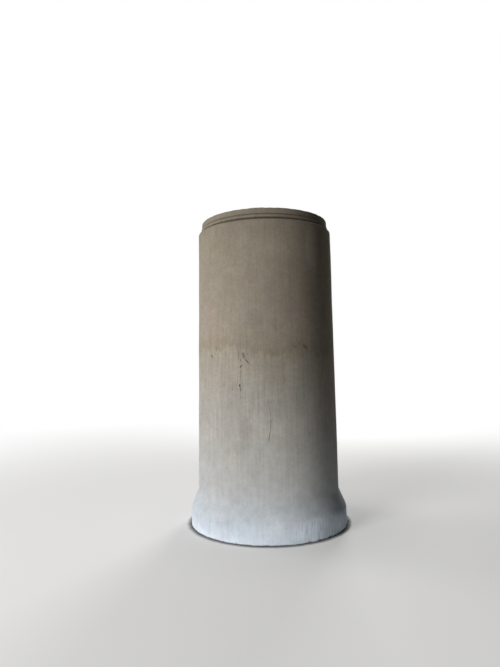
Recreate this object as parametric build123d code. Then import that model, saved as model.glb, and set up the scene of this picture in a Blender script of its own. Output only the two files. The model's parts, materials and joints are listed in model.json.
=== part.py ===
from build123d import *
import os

# A reinforced concrete culvert pipe, vibration-cast on end in a steel mould as one piece.
# It stands on its bell as it is stored, with the spigot at the top.
# Sizes are in millimetres. The origin is the centre of the bell's mouth on the ground,
# and +Z runs up the pipe's axis.

# Barrel
bore_diameter = 1000.0
wall = 100.0
laying_length = 2500.0  # ground to spigot shoulder: what one pipe adds to a laid line

# Spigot, the stepped end that goes into the next pipe's bell
spigot_length = 100.0  # shoulder to the very end
land_setback = 24.0  # how far the gasket land stands in from the barrel's outside
nose_setback = 6.0  # how far the nose stands in from the gasket land
nose_length = 55.0  # the end to the small step that stops the gasket rolling off

# Bell, outside
bell_swell = 60.0  # how far the bell stands out from the barrel
bell_face_height = 145.0  # the upright face, from the ground
flare_height = 135.0  # the slope from that face in to the barrel

# Socket, inside the bell
gasket_room = 10.0  # all round, between the gasket land and the socket wall
end_room = 12.0  # between the spigot's end and the socket's floor
lead_in_height = 25.0  # the cone at the mouth that guides the spigot in
lead_in_flare = 12.0  # how far that cone opens, all round

# Roundings and chamfers that the mould leaves
bell_rounding = 90.0  # between the bell's face and its slope
neck_rounding = 70.0  # between the slope and the barrel
shoulder_rounding = 7.0
socket_rounding = 15.0  # in the socket's inner corner
end_chamfer = 5.0  # the spigot end's two rims
ground_chamfer = 6.0  # the bell's outer rim, which stands on the ground
bore_chamfer = 8.0  # where the socket's floor turns into the bore

# What follows from those
bore_radius = bore_diameter / 2
barrel_radius = bore_radius + wall
land_radius = barrel_radius - land_setback
nose_radius = land_radius - nose_setback
bell_radius = barrel_radius + bell_swell
socket_radius = land_radius + gasket_room
mouth_radius = socket_radius + lead_in_flare

pipe_top = laying_length + spigot_length
land_top = pipe_top - nose_length
flare_top = bell_face_height + flare_height
socket_depth = spigot_length + end_room
sharp = 0.0


def wall_section():
    """Half of the pipe's lengthwise section: the wall on one side of the axis."""
    # Each corner is its distance from the axis, its height and its rounding.
    outside = [
        (bell_radius - ground_chamfer, 0, sharp),
        (bell_radius, ground_chamfer, sharp),
        (bell_radius, bell_face_height, bell_rounding),
        (barrel_radius, flare_top, neck_rounding),
        (barrel_radius, laying_length, shoulder_rounding),
    ]
    spigot = [
        (land_radius, laying_length, sharp),
        (land_radius, land_top, sharp),
        (nose_radius, land_top, sharp),
        (nose_radius, pipe_top - end_chamfer, sharp),
        (nose_radius - end_chamfer, pipe_top, sharp),
    ]
    bore = [
        (bore_radius + end_chamfer, pipe_top, sharp),
        (bore_radius, pipe_top - end_chamfer, sharp),
        (bore_radius, socket_depth + bore_chamfer, sharp),
        (bore_radius + bore_chamfer, socket_depth, sharp),
    ]
    socket = [
        (socket_radius, socket_depth, socket_rounding),
        (socket_radius, lead_in_height, sharp),
        (mouth_radius, 0, sharp),
    ]
    corners = outside + spigot + bore + socket
    points = [(distance, height) for distance, height, _ in corners]
    roundings = [rounding for _, _, rounding in corners]

    with BuildSketch(Plane.XZ) as section:
        with BuildLine():
            FilletPolyline(*points, radius=roundings, close=True)
        make_face()
    return section.sketch


def cast_pipe():
    """The wall's section, turned once round the axis."""
    pipe = revolve(wall_section(), axis=Axis.Z)
    pipe.label = "concrete_pipe"
    return pipe


os.makedirs("parts", exist_ok=True)
export_step(cast_pipe(), "parts/concrete_pipe.step")
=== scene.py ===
import json
import math

import bpy
import numpy as np
from mathutils import Matrix, Vector


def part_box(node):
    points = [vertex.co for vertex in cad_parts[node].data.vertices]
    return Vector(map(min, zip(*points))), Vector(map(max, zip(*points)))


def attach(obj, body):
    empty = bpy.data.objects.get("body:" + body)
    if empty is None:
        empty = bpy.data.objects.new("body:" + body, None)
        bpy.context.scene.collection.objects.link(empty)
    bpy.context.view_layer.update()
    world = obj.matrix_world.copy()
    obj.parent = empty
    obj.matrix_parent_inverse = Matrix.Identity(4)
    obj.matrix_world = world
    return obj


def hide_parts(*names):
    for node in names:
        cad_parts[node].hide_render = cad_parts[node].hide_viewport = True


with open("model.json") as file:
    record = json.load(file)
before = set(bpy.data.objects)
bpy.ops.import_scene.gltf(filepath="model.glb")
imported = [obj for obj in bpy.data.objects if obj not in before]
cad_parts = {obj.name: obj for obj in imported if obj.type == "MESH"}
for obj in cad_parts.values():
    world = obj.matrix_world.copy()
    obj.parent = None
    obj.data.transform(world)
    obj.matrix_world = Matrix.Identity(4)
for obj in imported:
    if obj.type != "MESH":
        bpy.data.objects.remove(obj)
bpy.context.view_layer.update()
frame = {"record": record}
scene = bpy.context.scene
scene.view_settings.view_transform = "Standard"
print("frame loaded")


def linearColour(hexText):
    # sRGB to linear: c / 12.92 up to 0.04045, and ((c + 0.055) / 1.055) ^ 2.4 above that
    channels = [int(hexText[i:i + 2], 16) / 255 for i in (1, 3, 5)]
    return [c / 12.92 if c <= 0.04045 else ((c + 0.055) / 1.055) ** 2.4 for c in channels] + [1.0]


def addNode(tree, kind, settings, inputs):
    # One node with its settings; an input takes a value, or a link from another node's output
    node = tree.nodes.new("ShaderNode" + kind)
    for name, value in settings.items():
        setattr(node, name, value)
    for socket, value in inputs.items():
        if isinstance(value, bpy.types.NodeSocket):
            tree.links.new(value, node.inputs[socket])
        else:
            node.inputs[socket].default_value = value
    return node.outputs


def newMaterial(name):
    material = bpy.data.materials.new(name)
    material.use_nodes = True
    material.node_tree.nodes.clear()
    return material, material.node_tree


def seenDirectly(tree):
    # 1 for what the camera sees, also in a reflection or through glass, and 0 for light on its way
    ray = addNode(tree, "LightPath", {}, {})
    seen = ray["Is Camera Ray"]
    for kind in ("Is Glossy Ray", "Is Transmission Ray"):
        seen = addNode(tree, "Math", {"operation": "MAXIMUM"}, {0: seen, 1: ray[kind]})[0]
    return seen


# Camera: a phone held at chest height, tilted up a little
camera = {
    "place": (-0.1345, -4.589, 1.303),  # metres
    "tiltUp": 7.295,  # degrees
    "lean": -0.785,  # degrees
    "focal": 508.96,  # pixels
    "aim": (250.5, 302.5),  # pixel that the lens looks along
    "picture": (500, 667),  # pixels
}


def makeCamera(spec):
    lens = bpy.data.cameras.new("camera")
    wide, tall = spec["picture"]
    lens.lens = spec["focal"] / tall * lens.sensor_width
    lens.shift_x = (wide / 2 - spec["aim"][0]) / tall
    lens.shift_y = (spec["aim"][1] - tall / 2) / tall
    stand = bpy.data.objects.new("camera", lens)
    scene.collection.objects.link(stand)
    tilt = Matrix.Rotation(math.radians(90 + spec["tiltUp"]), 4, "X")
    lean = Matrix.Rotation(math.radians(spec["lean"]), 4, "Z")
    stand.matrix_world = Matrix.Translation(spec["place"]) @ tilt @ lean
    scene.camera = stand


makeCamera(camera)
print("camera set")


# Light: a big soft window at the front left, others at the left and far off at the back right,
# a rooflight overhead, a faint glow off the floor on the bell's front, and a dim room
studio = {
    "lamps": [
        # name; centre, the point that it faces, and the length of its side, in metres; watts
        ("frontWindow", (-6.2, -6.55, 3.4), (0, 0, 1.1), 3.6, 660),
        ("leftWindow", (-8.2, 3.8, 2.8), (0, 0, 1.1), 3.2, 260),
        ("backWindow", (2.6, 9.7, 4.0), (0, 0, 1.1), 3.2, 780),
        ("rooflight", (-0.2, 0.1, 6.5), (-0.2, 0.1, 0), 1.2, 60),
        ("floorGlow", (0.4, -1.4, 0.003), (0.4, -1.4, 1), 1.1, 2.6),
    ],
    "room": 0.016,  # what the room gives from all sides; 1 would be white
}


def lightStudio(spec):
    for name, centre, faces, side, power in spec["lamps"]:
        panel = bpy.data.lights.new(name, "AREA")
        panel.size = side
        panel.energy = power
        holder = bpy.data.objects.new(name, panel)
        scene.collection.objects.link(holder)
        holder.visible_camera = False
        turned = (Vector(faces) - Vector(centre)).to_track_quat("-Z", "Y").to_matrix().to_4x4()
        holder.matrix_world = Matrix.Translation(centre) @ turned

    world = bpy.data.worlds.new("room")
    world.use_nodes = True
    tree = world.node_tree
    tree.nodes.clear()
    strength = addNode(tree, "MapRange", {},
                       {"Value": seenDirectly(tree), "To Min": spec["room"], "To Max": 1.0})[0]
    white = addNode(tree, "Background", {}, {"Color": linearColour("#ffffff"), "Strength": strength})[0]
    addNode(tree, "OutputWorld", {}, {"Surface": white})
    scene.world = world


lightStudio(studio)
print("lights set")


def findMount(name):
    return [mount for mount in frame["record"]["mounts"] if mount["name"] == name][0]


def mountSpan(name):
    # Radius, low end and high end of one of the record's round mounts, in metres
    mount = findMount(name)
    middle, half = mount["pos_m"][2], mount["dims"]["length_mm"] / 2000
    return mount["dims"]["r_mm"] / 1000, middle - half, middle + half


def findRings():
    # Radius and height of the edges and inner corners that run round the pipe, from the frame
    bell, _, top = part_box("concrete_pipe")[1]
    barrel = mountSpan("barrel_outside")[0]
    bore = mountSpan("barrel_bore")[0]
    land, shoulder, step = mountSpan("gasket_land")
    nose = mountSpan("spigot_nose")[0]
    socket = mountSpan("socket")[0]
    socketFloor = findMount("socket_floor")["pos_m"][2]
    return {
        "foot": (bell, 0.0),
        "shoulder": (barrel, shoulder),
        "shoulderCorner": (land, shoulder),
        "step": (land, step),
        "stepCorner": (nose, step),
        "rim": (nose, top),
        "boreRim": (bore, top),
        "socketCorner": (socket, socketFloor),
        "mouth": (socket, 0.0),
    }


rings = findRings()


# Floor: a floated concrete screed, matt and pale, that fades out to the white of the backdrop
floor = {
    "halfSide": 40.0,  # metres
    "paleTone": "#e6e5e3",  # what the camera sees
    "bounceTones": [
        # metres from the pipe's axis, and the tone that throws light back on the pipe from there
        (0.74, "#f6f8fc"),
        (0.95, "#7f868e"),
        (3.50, "#5a564a"),
    ],
    "grit": {
        # a thin dark line of grit and painted contact shadow along the foot; lengths in metres
        "reach": 0.050,
        "lump": 0.06,
        "stray": 0.02,  # how far its edge strays over a lump
        "cover": 0.80,
        # tone of the grit and the painted contact shadow
        "tone": "#3c3834",
    },
    "fadeFrom": 2.2,  # metres from the pipe's axis
    "fadeTo": 9.0,
    "lift": 0.25,  # share of white that it has even next to the pipe
}


def makeFloor(spec):
    side = spec["halfSide"]
    corners = [(-side, -side, 0), (side, -side, 0), (side, side, 0), (-side, side, 0)]
    mesh = bpy.data.meshes.new("floor")
    mesh.from_pydata(corners, [], [(0, 1, 2, 3)])
    slab = bpy.data.objects.new("floor", mesh)
    scene.collection.objects.link(slab)
    material, tree = newMaterial("floated screed")
    place = addNode(tree, "TexCoord", {}, {})["Object"]
    distance = addNode(tree, "VectorMath", {"operation": "LENGTH"}, {0: place})["Value"]
    seen = seenDirectly(tree)

    # What the pipe gets back from it
    stops = spec["bounceTones"]
    bounce = linearColour(stops[0][1])
    for (near, _), (far, farTone) in zip(stops, stops[1:]):
        away = addNode(tree, "MapRange", {}, {"Value": distance, "From Min": near, "From Max": far})[0]
        bounce = addNode(tree, "Mix", {"data_type": "RGBA"},
                         {0: away, 6: bounce, 7: linearColour(farTone)})[2]

    # What the camera sees of it: grit and a painted contact shadow where the distance from the foot, strayed
    # by noise, is small
    grit = spec["grit"]
    lumps = addNode(tree, "TexNoise", {}, {"Vector": place, "Scale": 1 / grit["lump"], "Detail": 3.0})[0]
    lumps = addNode(tree, "Math", {"operation": "SUBTRACT"}, {0: lumps, 1: 0.5})[0]
    ragged = addNode(tree, "Math", {"operation": "MULTIPLY_ADD"},
                     {0: lumps, 1: grit["stray"], 2: distance})[0]
    fromFoot = addNode(tree, "Math", {"operation": "SUBTRACT"}, {0: ragged, 1: rings["foot"][0]})[0]
    fromFoot = addNode(tree, "Math", {"operation": "ABSOLUTE"}, {0: fromFoot})[0]
    gritShadow = addNode(tree, "MapRange", {"interpolation_type": "SMOOTHSTEP"},
                     {"Value": fromFoot, "From Min": 0.0, "From Max": grit["reach"],
                      "To Min": grit["cover"], "To Max": 0.0})[0]
    pale = addNode(tree, "Mix", {"data_type": "RGBA"},
                   {0: gritShadow, 6: linearColour(spec["paleTone"]), 7: linearColour(grit["tone"])})[2]

    tone = addNode(tree, "Mix", {"data_type": "RGBA"}, {0: seen, 6: bounce, 7: pale})[2]
    fade = addNode(tree, "MapRange", {"interpolation_type": "SMOOTHSTEP"},
                   {"Value": distance, "From Min": spec["fadeFrom"], "From Max": spec["fadeTo"],
                    "To Min": spec["lift"], "To Max": 1.0})[0]
    fade = addNode(tree, "Math", {"operation": "MULTIPLY"}, {0: fade, 1: seen})[0]
    # the grit and the painted contact shadow also take away the white
    fade = addNode(tree, "Math", {"operation": "SUBTRACT", "use_clamp": True}, {0: fade, 1: gritShadow})[0]
    matt = addNode(tree, "BsdfDiffuse", {}, {"Color": tone})[0]
    white = addNode(tree, "Emission", {}, {"Color": linearColour("#ffffff"), "Strength": 1.0})[0]
    surface = addNode(tree, "MixShader", {}, {0: fade, 1: matt, 2: white})[0]
    addNode(tree, "OutputMaterial", {}, {"Surface": surface})
    mesh.materials.append(material)


makeFloor(floor)
print("floor laid")


# Pipe: one casting, turned about +Z. Radii and heights come from the frame; the rest is here, in metres
castPipe = {
    "columns": 512,  # round the pipe: 8 mm apart on the bell
    "bellFace": 0.145,  # height of the bell's upright face
    "flareTop": 0.280,  # where the bell's slope meets the barrel
    "bellRounding": 0.090,
    "neckRounding": 0.070,
    "shoulderRounding": 0.007,
    "socketRounding": 0.015,
    "footChamfer": 0.006,
    "rimChamfer": 0.005,
    "boreChamfer": 0.008,
    "leadIn": (0.012, 0.025),  # how far the socket's mouth opens, and how high that cone is
    "edge": 0.0015,  # the small rounding of an edge that the mould made sharp
    "footRows": 0.060,  # the rows stand closer below this height,
    "endRows": 0.050,  # and this near to the shoulder and to the top
    "sharpAngle": 50,  # degrees; softer turns are shaded smooth
    "unevenness": [(0.50, 0.0006), (0.12, 0.0002)],  # the mould's own: length of a wave, and its swing
    "trowelling": (0.060, 0.0006, 0.006),  # the same for the top, struck off by hand, and how far down
    "wear": [
        # an edge; how far the loss reaches along the skin, how deep it is, and how much deeper in a chip
        ("foot", 0.012, 0.0035, 0.016),
        ("mouth", 0.010, 0.0020, 0.008),
        ("rim", 0.006, 0.0008, 0.005),
        ("boreRim", 0.006, 0.0010, 0.006),
        ("shoulder", 0.008, 0.0012, 0.004),
        ("step", 0.005, 0.0008, 0.002),
    ],
    "wearLump": 0.03,  # how long a stretch of stronger or weaker loss is
    "chipLump": 0.06,  # the same for chips,
    "chipFrom": 1.5,  # which start where that field is so many spreads above its mean
    "seed": 11,
}


def pipeCorners(spec):
    # The wall's section, foot first, up the outside and down the bore:
    # each corner has radius, height, rounding, and the spacing of the rows on the run after it
    bell, barrel, land, nose = [rings[name][0] for name in ("foot", "shoulder", "step", "rim")]
    bore, socket = rings["boreRim"][0], rings["mouth"][0]
    shoulder, step, top, seat = [rings[name][1] for name in ("shoulder", "step", "rim", "socketCorner")]
    foot, rim, edge, lip = spec["footChamfer"], spec["rimChamfer"], spec["edge"], spec["boreChamfer"]
    opens, leadHigh = spec["leadIn"]
    return [
        (bell - foot, 0.0, edge, 0.003),
        (bell, foot, edge, 0.006),
        (bell, spec["footRows"], 0, 0.014),
        (bell, spec["bellFace"], spec["bellRounding"], 0.012),
        (barrel, spec["flareTop"], spec["neckRounding"], 0.060),
        (barrel, shoulder - spec["endRows"], 0, 0.007),
        (barrel, shoulder, spec["shoulderRounding"], 0.005),
        (land, shoulder, edge, 0.006),
        (land, step, edge, 0.002),
        (nose, step, edge, 0.006),
        (nose, top - rim, edge, 0.003),
        (nose - rim, top, edge, 0.007),
        (bore + rim, top, edge, 0.003),
        (bore, top - rim, edge, 0.007),
        (bore, top - spec["endRows"], 0, 0.150),
        (bore, seat + lip, edge, 0.004),
        (bore + lip, seat, edge, 0.012),
        (socket, seat, spec["socketRounding"], 0.012),
        (socket, leadHigh, edge, 0.006),
        (socket + opens, 0.0, edge, 0.008),
    ]


def roundedOutline(corners):
    # A closed outline through the corners. Each rounding is an arc tangent to both runs: it starts
    # rounding * tan(turn / 2) before the corner, and its points are centre + rounding * (cos, sin)
    points = np.array([corner[:2] for corner in corners])
    before = points - np.roll(points, 1, axis=0)
    after = np.roll(points, -1, axis=0) - points
    before /= np.linalg.norm(before, axis=1)[:, None]
    after /= np.linalg.norm(after, axis=1)[:, None]
    turn = np.arctan2(before[:, 0] * after[:, 1] - before[:, 1] * after[:, 0], (before * after).sum(1))
    rounding = np.array([corner[2] for corner in corners])
    cut = rounding * np.tan(np.abs(turn) / 2)
    starts, ends = points - before * cut[:, None], points + after * cut[:, None]
    rows = []
    for i, corner in enumerate(corners):
        if rounding[i] > 0:
            inward = np.array([-before[i, 1], before[i, 0]]) * np.sign(turn[i])
            centre = starts[i] + inward * rounding[i]
            steps = 2 if rounding[i] < 0.005 else 5  # a sharp edge's small arc needs fewer
            swing = np.linspace(0, turn[i], steps + 1)[:, None]
            arm = starts[i] - centre
            side = np.array([-arm[1], arm[0]])
            rows.append(centre + arm * np.cos(swing) + side * np.sin(swing))
        else:
            rows.append(points[i:i + 1])
        following = (i + 1) % len(corners)
        run = starts[following] - ends[i]
        count = max(int(round(np.linalg.norm(run) / corner[3])), 1)
        share = np.arange(1, count)[:, None] / count
        rows.append(ends[i] + run * share)
    return np.concatenate(rows)


def waveNoise(points, size, seed, waves=48):
    # A smooth random field with unit spread: the sum of sin(k . p + phase) over waves in random
    # directions, each about `size` metres long
    rng = np.random.default_rng(seed)
    heading = rng.normal(size=(3, waves))
    heading /= np.linalg.norm(heading, axis=0)
    pitch = 2 * np.pi / (size * rng.uniform(0.7, 1.5, waves))
    phase = rng.uniform(0, 2 * np.pi, waves)
    return np.sin(points @ (heading * pitch) + phase).sum(1) * np.sqrt(2 / waves)


def edgeWear(points, wear, spec, seed):
    # Loss at an edge that runs round the pipe: depth fades with distance as exp(-(d / reach)^2),
    # is uneven along the edge, and is deeper where a coarser field passes its threshold
    name, reach, depth, chipDepth = wear
    radius, height = rings[name]
    away = np.hypot(np.hypot(points[:, 0], points[:, 1]) - radius, points[:, 2] - height)
    fade = np.exp(-(away / reach) ** 2)
    uneven = np.clip(0.5 + 0.35 * waveNoise(points, spec["wearLump"], seed), 0, None)
    chips = np.clip(waveNoise(points, spec["chipLump"], seed + 1) - spec["chipFrom"], 0, 1)
    return fade * (depth * uneven + chipDepth * chips)


def turnedSurface(radius, height, angle):
    # Surface of revolution: (radius cos a, radius sin a, height), one row for each radius and height
    around = np.broadcast_arrays(radius * np.cos(angle), radius * np.sin(angle), height)
    return np.stack(around, -1).reshape(-1, 3)


def makePipe(spec):
    # The section turned about +Z, less the relief along its normal
    outline = roundedOutline(pipeCorners(spec))
    along = np.roll(outline, -1, axis=0) - np.roll(outline, 1, axis=0)
    along /= np.linalg.norm(along, axis=1)[:, None]
    angle = np.arange(spec["columns"]) * 2 * np.pi / spec["columns"]
    points = turnedSurface(outline[:, :1], outline[:, 1:], angle)
    normals = turnedSurface(along[:, 1:], -along[:, :1], angle)

    seed, top = spec["seed"], rings["rim"][1]
    loss = np.zeros(len(points))
    for i, (size, swing) in enumerate(spec["unevenness"]):
        loss += swing * waveNoise(points, size, seed + i)
    size, swing, reach = spec["trowelling"]
    onTop = np.exp(-((points[:, 2] - top) / reach) ** 2)
    loss += onTop * swing * (1 + waveNoise(points, size, seed + 5))
    for i, wear in enumerate(spec["wear"]):
        loss += edgeWear(points, wear, spec, seed + 10 * (i + 1))
    points = points - normals * loss[:, None]
    points[:, 2] = np.clip(points[:, 2], 0, top)

    rows, columns = len(outline), spec["columns"]
    index = np.arange(rows * columns).reshape(rows, columns)
    nextColumn, nextRow = np.roll(index, -1, axis=1), np.roll(index, -1, axis=0)
    faces = np.stack([index, nextColumn, np.roll(nextRow, -1, axis=1), nextRow], -1).reshape(-1, 4)
    mesh = bpy.data.meshes.new("castPipe")
    mesh.vertices.add(len(points))
    mesh.vertices.foreach_set("co", points.ravel())
    mesh.loops.add(faces.size)
    mesh.loops.foreach_set("vertex_index", faces.ravel())
    mesh.polygons.add(len(faces))
    mesh.polygons.foreach_set("loop_start", np.arange(0, faces.size, 4))
    mesh.polygons.foreach_set("use_smooth", np.ones(len(faces), bool))
    mesh.update(calc_edges=True)
    mesh.validate()
    mesh.set_sharp_from_angle(angle=math.radians(spec["sharpAngle"]))
    pipe = bpy.data.objects.new("castPipe", mesh)
    scene.collection.objects.link(pipe)
    print("pipe made:", rows, "rows,", 2 * len(faces), "triangles")
    return pipe


# Vibration-cast concrete: a stiff mix rammed in a steel mould that is drawn off at once.
# It gives a matt skin of cement paste with upright drag lines, a few open pores,
# and tones that follow the mix and the drying rather than the shape, with some painted light in the tones by
# height.
castConcrete = {
    "zones": [
        # what it is, metres above the ground, sRGB; the paler, bluer bell and foot and the darker top are
        # partly the mix and partly painted light: floor bounce and skylight low down, shade at the top
        ("foot", 0.00, "#dce3ea"),
        ("bell's face", 0.06, "#d2dae2"),
        ("bell's slope", 0.22, "#c5cacd"),
        ("neck", 0.34, "#c1c1c0"),
        ("lower barrel", 0.60, "#bab8b2"),
        ("middle", 1.12, "#aca59b"),
        ("under the tone line", 1.39, "#a69e8f"),
        ("tone line", 1.43, "#9b9180"),
        ("upper barrel", 1.60, "#a19688"),
        ("under the spigot", 2.30, "#928979"),
        ("spigot", 2.60, "#877e70"),
    ],
    "insideTone": "#a19c93",
    "insideFrom": (0.53, 0.56),  # radius up to which it holds, and from which the zones hold, in metres
    "wander": [
        # how far a change of tone strays from its height: width and height of a lobe, and reach, in mm
        (330, 330, 60),
        (60, 60, 50),
        (22, 260, 70),
    ],
    "tilt": 0.06,  # how much lower the changes of tone lie towards +X: metres a metre
    "tint": (160, 0.03),  # warmer and cooler patches: size in mm, and their swing
    "patterns": [
        # what it is; width and height of a feature in mm, swing in brightness, relief in mm
        ("clouds of drier and wetter mix", 260, 200, 0.08, 0.0),
        ("paste and sand patches", 70, 60, 0.11, 0.20),
    ],
    "grain": [
        # the same, for what is strong on the barrel and weak on the bell
        ("smaller patches", 28, 24, 0.09, 0.15),
        ("sand grain, drawn coarse enough to show", 10, 10, 0.14, 0.20),
    ],
    "bellFade": (0.35, 1.00, 0.45),  # heights in metres between which it fades, and what is left below
    "dragLines": [
        # the same, for what the mould draws on the barrel as it is pulled off
        ("wide drag lines", 26, 800, 0.07, 0.12),
        ("drag lines", 15, 350, 0.12, 0.10),
        ("fine drag lines", 8, 250, 0.08, 0.10),
    ],
    "dragFade": (1.40, 1.70, 0.65),  # the same for these, and what is left above
    "washLines": ("lines in the paste that ran down the bell", 10, 110, 0.48, 0.08),
    "washLift": 0.26,  # how much paler the skin is there
    "washPatches": [
        # where it did: what it is; two ends, each degrees from +X and metres up; width in mm; how strongly
        ("paste at the front right", (-72, 0.08), (-30, 0.09), 220, 1.0),
        ("paste at the back right", (38, 0.08), (62, 0.08), 170, 0.45),
        ("paste at the back left", (141, 0.10), (166, 0.10), 190, 0.35),
    ],
    "pores": [
        # what they are; spacing, radius and depth in mm
        ("open pores", 38, 3.0, 1.5),
        ("pin holes", 13, 1.2, 0.6),
    ],
    "poreDark": 0.5,  # how dark they are
    "marks": [
        # what it is; ends and width as above; how dark
        ("pore at the left", (-139.4, 1.402), (-139.3, 1.396), 29, 0.58),
        ("scratch by it", (-136.7, 1.430), (-134.6, 1.410), 12, 0.36),
        ("drip", (-134.5, 1.480), (-133.8, 1.434), 12, 0.42),
        ("second drip", (-130.4, 1.476), (-130.2, 1.432), 12, 0.36),
        ("spot at the left", (-136.5, 1.375), (-136.3, 1.361), 14, 0.24),
        ("upright scrape", (-113.0, 1.445), (-112.9, 1.364), 11, 0.44),
        ("dot beside it", (-111.5, 1.376), (-111.4, 1.350), 12, 0.42),
        ("bruise", (-109.2, 1.414), (-108.9, 1.399), 36, 0.50),
        ("its lower half", (-108.9, 1.396), (-108.8, 1.384), 30, 0.50),
        ("dot at its right", (-105.7, 1.415), (-105.5, 1.402), 12, 0.26),
        ("scratch under the bruise", (-108.3, 1.376), (-104.5, 1.332), 13, 0.66),
        ("pore under the bruise", (-111.6, 1.309), (-110.9, 1.317), 16, 0.82),
        ("its right end", (-111.0, 1.316), (-109.9, 1.328), 13, 0.36),
        ("line under it", (-111.5, 1.300), (-111.7, 1.176), 10, 0.36),
        ("line at its left", (-113.9, 1.245), (-113.9, 1.170), 9, 0.26),
        ("dashes further left", (-118.4, 1.176), (-118.4, 1.112), 9, 0.24),
        ("pore", (-112.2, 1.172), (-112.2, 1.158), 17, 0.90),
        ("its tail", (-111.7, 1.154), (-111.3, 1.114), 12, 0.60),
        ("its faint end", (-111.6, 1.120), (-111.9, 1.040), 8, 0.30),
        ("hairline", (-90.3, 1.025), (-89.1, 0.915), 9, 0.34),
        ("hairline's middle", (-89.1, 0.930), (-89.4, 0.820), 10, 0.46),
        ("hairline's lower end", (-89.4, 0.838), (-91.2, 0.730), 10, 0.50),
        ("second hairline", (-97.6, 0.698), (-97.4, 0.572), 8, 0.24),
        ("streak on the lower left", (-129.0, 0.830), (-128.7, 0.675), 13, 0.14),
        ("hook on the dull side", (-68.5, 1.545), (-67.3, 1.495), 12, 0.34),
        ("blot at its foot", (-62.4, 1.480), (-58.3, 1.448), 30, 0.56),
        ("blot at its left", (-71.2, 1.466), (-67.8, 1.461), 24, 0.36),
        ("spot above the blot", (-60.4, 1.540), (-60.1, 1.512), 14, 0.34),
        ("spot between them", (-65.5, 1.496), (-65.1, 1.480), 24, 0.36),
        ("drip on the dull side", (-76.5, 1.468), (-76.4, 1.424), 12, 0.24),
        ("spot under it", (-74.3, 1.398), (-74.3, 1.376), 13, 0.32),
    ],
    "markDepth": 1.5,  # mm
    "markRim": (11, 10),  # size of the lumps in their rims, and how far these reach, in mm
    "palePatches": [
        # as the marks, painted light that makes the skin paler; how much paler
        # painted reflected light near the shoulder, on the side turned from the key light
        ("dry skin at the upper right", (-50.0, 2.500), (-51.0, 2.100), 190, 0.45),
        # painted light thrown up from the floor onto the bell's lower front
        ("dry skin on the bell", (-108.0, 0.09), (-60.0, 0.09), 300, 0.09),
    ],
    "smudges": [
        # as the marks, where damp or dirt has darkened the skin and left no dent, and a painted shade on the
        # upper barrel's right
        ("damp edge of the tone line", (-73.0, 1.480), (-58.0, 1.490), 90, 0.17),
        # painted shade on the side of the upper barrel turned from the light
        ("dull side of the upper barrel", (-70.0, 1.900), (-70.0, 1.300), 900, 0.14),
        ("damp patch on the lower barrel", (-117.0, 1.080), (-115.0, 0.700), 330, 0.06),
        ("its darker middle", (-108.5, 0.920), (-108.0, 0.680), 150, 0.16),
    ],
    "patchRim": (45, 60),  # as the marks' rims, for the pale patches and the smudges
    "dirt": [
        # along an edge or inner corner, dirt and painted shade where little light gets in: reach in mm, how
        # dark
        ("shoulderCorner", 30, 0.95),
        ("stepCorner", 13, 0.60),
        ("foot", 9, 0.60),
    ],
    # dark tone of the pores, marks, damp, dirt and the painted shade
    "markTone": "#3f342a",
    "roughness": 0.88,
    "roughnessSwing": 0.25,  # how much rougher the paler, drier skin is
    "gloss": 0.25,  # half of what a closed skin of this kind would have, because it is full of fine pores
}


def stretchedNoise(tree, place, wide, tall, detail):
    # Noise less a half, with features this many mm wide and tall
    fine = (1000 / wide, 1000 / wide, 1000 / tall)
    stretched = addNode(tree, "Mapping", {}, {"Vector": place, "Scale": fine})[0]
    noise = addNode(tree, "TexNoise", {}, {"Vector": stretched, "Scale": 1.0, "Detail": detail})[0]
    return addNode(tree, "Math", {"operation": "SUBTRACT"}, {0: noise, 1: 0.5})[0]


def roughened(tree, place, size, reach):
    # Coordinates shifted about by up to half the reach, over lumps of this size, both in mm
    shift = addNode(tree, "TexNoise", {}, {"Vector": place, "Scale": 1000 / size, "Detail": 4.0})[1]
    shift = addNode(tree, "VectorMath", {"operation": "SUBTRACT"}, {0: shift, 1: (0.5, 0.5, 0.5)})[0]
    return addNode(tree, "VectorMath", {"operation": "MULTIPLY_ADD"},
                   {0: shift, 1: (reach / 1000,) * 3, 2: place})[0]


def spotMask(tree, place, spot):
    # An ellipsoid between two ends on the skin: full over its inner half, and fading to 0 at its rim
    _, (fromAngle, fromHeight), (toAngle, toHeight), width, cover = spot
    onBell = max(fromHeight, toHeight) < castPipe["bellFace"]
    radius = rings["foot" if onBell else "shoulder"][0]
    around = math.radians(fromAngle - toAngle) * radius
    rise = fromHeight - toHeight
    angle = math.radians((fromAngle + toAngle) / 2)
    centre = (radius * math.cos(angle), radius * math.sin(angle), (fromHeight + toHeight) / 2)
    half = width / 2000
    reach = half + math.hypot(around, rise) / 2
    deep = 0.05 + 1.5 * reach ** 2 / radius  # enough to follow the curve of the skin
    lean = (0, math.atan2(-around, rise), angle - math.pi / 2)
    local = addNode(tree, "Mapping", {"vector_type": "TEXTURE"},
                    {"Vector": place, "Location": centre, "Rotation": lean, "Scale": (half, deep, reach)})[0]
    inside = addNode(tree, "TexGradient", {"gradient_type": "SPHERICAL"}, {0: local})[1]
    return addNode(tree, "MapRange", {"interpolation_type": "SMOOTHSTEP"},
                   {"Value": inside, "From Min": 0.0, "From Max": 0.5, "To Min": 0.0, "To Max": cover})[0]


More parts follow.
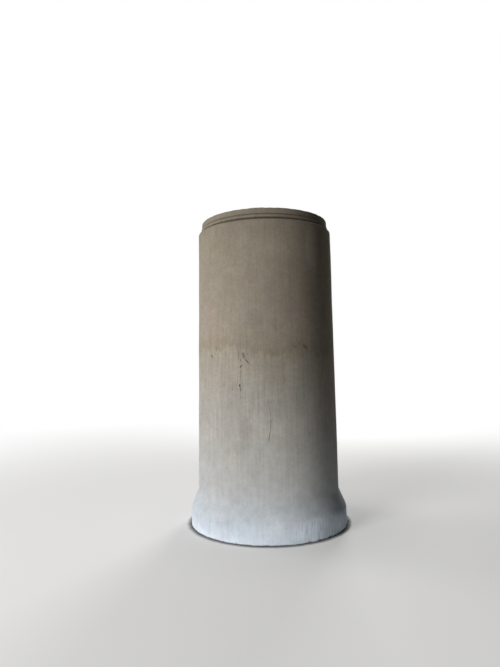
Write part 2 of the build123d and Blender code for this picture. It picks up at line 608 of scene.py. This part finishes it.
# Used for the dirt and painted shade in the inner corners and along the foot
def ringMask(tree, radius, height, dirt):
    # A ring round the pipe: full for a third of its reach from the edge or corner, and 0 at its reach
    name, reach, cover = dirt
    ringRadius, ringHeight = rings[name]
    aside = addNode(tree, "Math", {"operation": "SUBTRACT"}, {0: radius, 1: ringRadius})[0]
    above = addNode(tree, "Math", {"operation": "SUBTRACT"}, {0: height, 1: ringHeight})[0]
    away = addNode(tree, "CombineXYZ", {}, {0: aside, 1: above})[0]
    away = addNode(tree, "VectorMath", {"operation": "LENGTH"}, {0: away})["Value"]
    return addNode(tree, "MapRange", {"interpolation_type": "SMOOTHSTEP"},
                   {"Value": away, "From Min": 0.35 * reach / 1000, "From Max": reach / 1000,
                    "To Min": cover, "To Max": 0.0})[0]


def zoneTone(tree, place, height, barrelShare, spec):
    # Colour by height, where the height is off by the sum of (noise - 0.5) * reach, and by the tilt
    across = addNode(tree, "SeparateXYZ", {}, {0: place})["X"]
    stray = addNode(tree, "Math", {"operation": "MULTIPLY"}, {0: across, 1: spec["tilt"]})[0]
    for wide, tall, reach in spec["wander"]:
        offset = stretchedNoise(tree, place, wide, tall, 2.0)
        stray = addNode(tree, "Math", {"operation": "MULTIPLY_ADD"},
                        {0: offset, 1: 2 * reach / 1000, 2: stray})[0]
    height = addNode(tree, "Math", {"operation": "MULTIPLY_ADD"}, {0: stray, 1: barrelShare, 2: height})[0]
    top = spec["zones"][-1][1]
    share = addNode(tree, "Math", {"operation": "DIVIDE"}, {0: height, 1: top})[0]
    tone = addNode(tree, "ValToRGB", {}, {0: share})[0]
    ramp = tone.node.color_ramp
    for _ in spec["zones"][2:]:
        ramp.elements.new(0.5)
    for element, (_, level, hexText) in zip(ramp.elements, spec["zones"]):
        element.position = level / top
        element.color = linearColour(hexText)
    return tone


def layPatterns(tree, place, height, barrelShare, spec):
    # Brightness and relief: sums of (noise - 0.5) times each pattern's swing and relief
    low, high, left = spec["dragFade"]
    drag = addNode(tree, "MapRange", {}, {"Value": height, "From Min": low, "From Max": high,
                                          "To Min": 1.0, "To Max": left})[0]
    drag = addNode(tree, "Math", {"operation": "MULTIPLY"}, {0: drag, 1: barrelShare})[0]
    wash = 0.0
    for patch in spec["washPatches"]:
        mask = spotMask(tree, place, patch)
        wash = addNode(tree, "Math", {"operation": "MAXIMUM"}, {0: mask, 1: wash})[0]
    layers = [(pattern, 1.0) for pattern in spec["patterns"]]
    layers += [(pattern, barrelShare) for pattern in spec["grain"]]
    layers += [(pattern, drag) for pattern in spec["dragLines"]]
    layers += [(spec["washLines"], wash)]
    gain = 3  # noise less a half swings by about a third
    shade, relief = 1.0, 0.0
    for (_, wide, tall, swing, depth), share in layers:
        offset = stretchedNoise(tree, place, wide, tall, 3.0)
        offset = addNode(tree, "Math", {"operation": "MULTIPLY"}, {0: offset, 1: share})[0]
        shade = addNode(tree, "Math", {"operation": "MULTIPLY_ADD"},
                        {0: offset, 1: gain * swing, 2: shade})[0]
        relief = addNode(tree, "Math", {"operation": "MULTIPLY_ADD"},
                         {0: offset, 1: gain * depth / 1000, 2: relief})[0]
    shade = addNode(tree, "Math", {"operation": "MULTIPLY_ADD"}, {0: wash, 1: spec["washLift"], 2: shade})[0]
    return shade, relief


def concreteMaterial(spec):
    material, tree = newMaterial("vibration-cast concrete")
    place = addNode(tree, "TexCoord", {}, {})["Object"]
    height = addNode(tree, "SeparateXYZ", {}, {0: place})["Z"]
    low, high, left = spec["bellFade"]
    barrelShare = addNode(tree, "MapRange", {}, {"Value": height, "From Min": low, "From Max": high,
                                                 "To Min": left, "To Max": 1.0})[0]
    tone = zoneTone(tree, place, height, barrelShare, spec)
    shade, relief = layPatterns(tree, place, height, barrelShare, spec)

    # Pores: round where the skin cuts a sphere about each point of a scattered lattice
    dark = 0.0
    for _, spacing, radius, depth in spec["pores"]:
        distance = addNode(tree, "TexVoronoi", {}, {"Vector": place, "Scale": 1000 / spacing})["Distance"]
        size = radius / spacing
        hole = addNode(tree, "MapRange", {"interpolation_type": "SMOOTHSTEP"},
                       {"Value": distance, "From Min": 0.5 * size, "From Max": size,
                        "To Min": 1.0, "To Max": 0.0})[0]
        dark = addNode(tree, "Math", {"operation": "MAXIMUM"}, {0: hole, 1: dark})[0]
        relief = addNode(tree, "Math", {"operation": "MULTIPLY_ADD"},
                         {0: hole, 1: -depth / 1000, 2: relief})[0]
    dark = addNode(tree, "Math", {"operation": "MULTIPLY"}, {0: dark, 1: spec["poreDark"]})[0]

    # Painted light patches, smudges (damp, and one painted shade), marks, and dirt with painted shade, their
    # rims roughened by noise; the darkest one shows
    loose = roughened(tree, place, *spec["patchRim"])
    for patch in spec["palePatches"]:
        mask = spotMask(tree, loose, patch)
        # painted light: the skin made paler where more light falls
        shade = addNode(tree, "Math", {"operation": "ADD"}, {0: mask, 1: shade})[0]
    for smudge in spec["smudges"]:
        mask = spotMask(tree, loose, smudge)
        dark = addNode(tree, "Math", {"operation": "MAXIMUM"}, {0: mask, 1: dark})[0]
    rough = roughened(tree, place, *spec["markRim"])
    for mark in spec["marks"]:
        mask = spotMask(tree, rough, mark)
        dark = addNode(tree, "Math", {"operation": "MAXIMUM"}, {0: mask, 1: dark})[0]
        relief = addNode(tree, "Math", {"operation": "MULTIPLY_ADD"},
                         {0: mask, 1: -spec["markDepth"] / 1000, 2: relief})[0]
    axes = addNode(tree, "SeparateXYZ", {}, {0: rough})
    flat = addNode(tree, "CombineXYZ", {}, {0: axes["X"], 1: axes["Y"]})[0]
    radius = addNode(tree, "VectorMath", {"operation": "LENGTH"}, {0: flat})["Value"]
    # Dirt and painted shade in the inner corners and along the foot
    for dirt in spec["dirt"]:
        mask = ringMask(tree, radius, axes["Z"], dirt)
        dark = addNode(tree, "Math", {"operation": "MAXIMUM"}, {0: mask, 1: dark})[0]

    # Colour: the tone times brightness and tint, and the dark tone of the marks, dirt and painted shade over
    # it
    low, high = spec["insideFrom"]
    inside = addNode(tree, "MapRange", {}, {"Value": radius, "From Min": low, "From Max": high,
                                            "To Min": 1.0, "To Max": 0.0})[0]
    tone = addNode(tree, "Mix", {"data_type": "RGBA"},
                   {0: inside, 6: tone, 7: linearColour(spec["insideTone"])})[2]
    tone = addNode(tree, "VectorMath", {"operation": "SCALE"}, {0: tone, "Scale": shade})[0]
    size, swing = spec["tint"]
    tint = addNode(tree, "TexNoise", {}, {"Vector": place, "Scale": 1000 / size, "Detail": 1.0})[1]
    tint = addNode(tree, "VectorMath", {"operation": "MULTIPLY_ADD"},
                   {0: tint, 1: (2 * swing,) * 3, 2: (1 - swing,) * 3})[0]
    tone = addNode(tree, "VectorMath", {"operation": "MULTIPLY"}, {0: tone, 1: tint})[0]
    tone = addNode(tree, "Mix", {"data_type": "RGBA"},
                   {0: dark, 6: tone, 7: linearColour(spec["markTone"])})[2]

    bump = addNode(tree, "Bump", {}, {"Height": relief, "Distance": 1.0, "Strength": 1.0})[0]
    swing = spec["roughnessSwing"]
    grip = addNode(tree, "Math", {"operation": "MULTIPLY_ADD"},
                   {0: shade, 1: swing, 2: spec["roughness"] - swing})[0]
    skin = addNode(tree, "BsdfPrincipled", {},
                   {"Base Color": tone, "Normal": bump, "Roughness": grip,
                    "Specular IOR Level": spec["gloss"]})[0]
    addNode(tree, "OutputMaterial", {}, {"Surface": skin})
    return material


pipe = makePipe(castPipe)
pipe.data.materials.append(concreteMaterial(castConcrete))
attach(pipe, "root")
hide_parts("concrete_pipe")
print("concrete finished")
